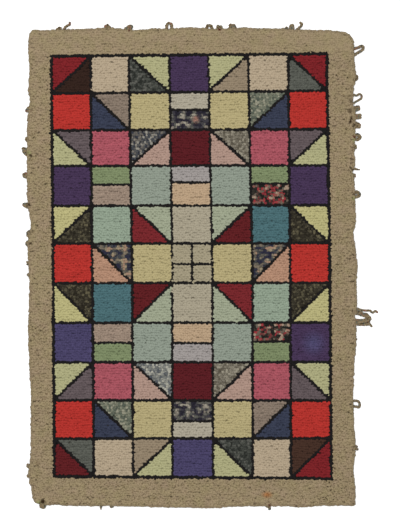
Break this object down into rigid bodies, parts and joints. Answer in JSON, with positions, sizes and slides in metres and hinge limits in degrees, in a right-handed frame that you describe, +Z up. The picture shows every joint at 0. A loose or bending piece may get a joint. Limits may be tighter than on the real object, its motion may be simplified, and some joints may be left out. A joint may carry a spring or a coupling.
{
  "type": "hooked rug",
  "caption": "Flat rectangular hooked rug with a looped pile in a geometric patchwork of squares and triangles, a plain border and loose yarn ends along its rim.",
  "frame": {"origin": "centre of the rug's flat underside, which is where its length and width cross", "axes": "+X across the rug's width, +Y along its length, +Z up out of the pile"},
  "size_m": [0.9258, 1.2652, 0.0093],
  "materials": {
    "hooked_pile": "looped wool pile, matte",
    "loose_yarn": "worn wool strip, matte"
  },
  "bodies": {
    "root": {"rug": "hooked_pile", "loose_top_1": "loose_yarn", "loose_top_2": "loose_yarn", "loose_top_3": "loose_yarn", "loose_top_4": "loose_yarn", "loose_top_5": "loose_yarn", "loose_top_6": "loose_yarn", "loose_right_1": "loose_yarn", "loose_right_2": "loose_yarn", "loose_right_3": "loose_yarn", "loose_right_4": "loose_yarn", "loose_right_5": "loose_yarn", "loose_right_6": "loose_yarn", "loose_right_7": "loose_yarn", "loose_left_1": "loose_yarn", "loose_left_2": "loose_yarn"}
  },
  "joints": []
}
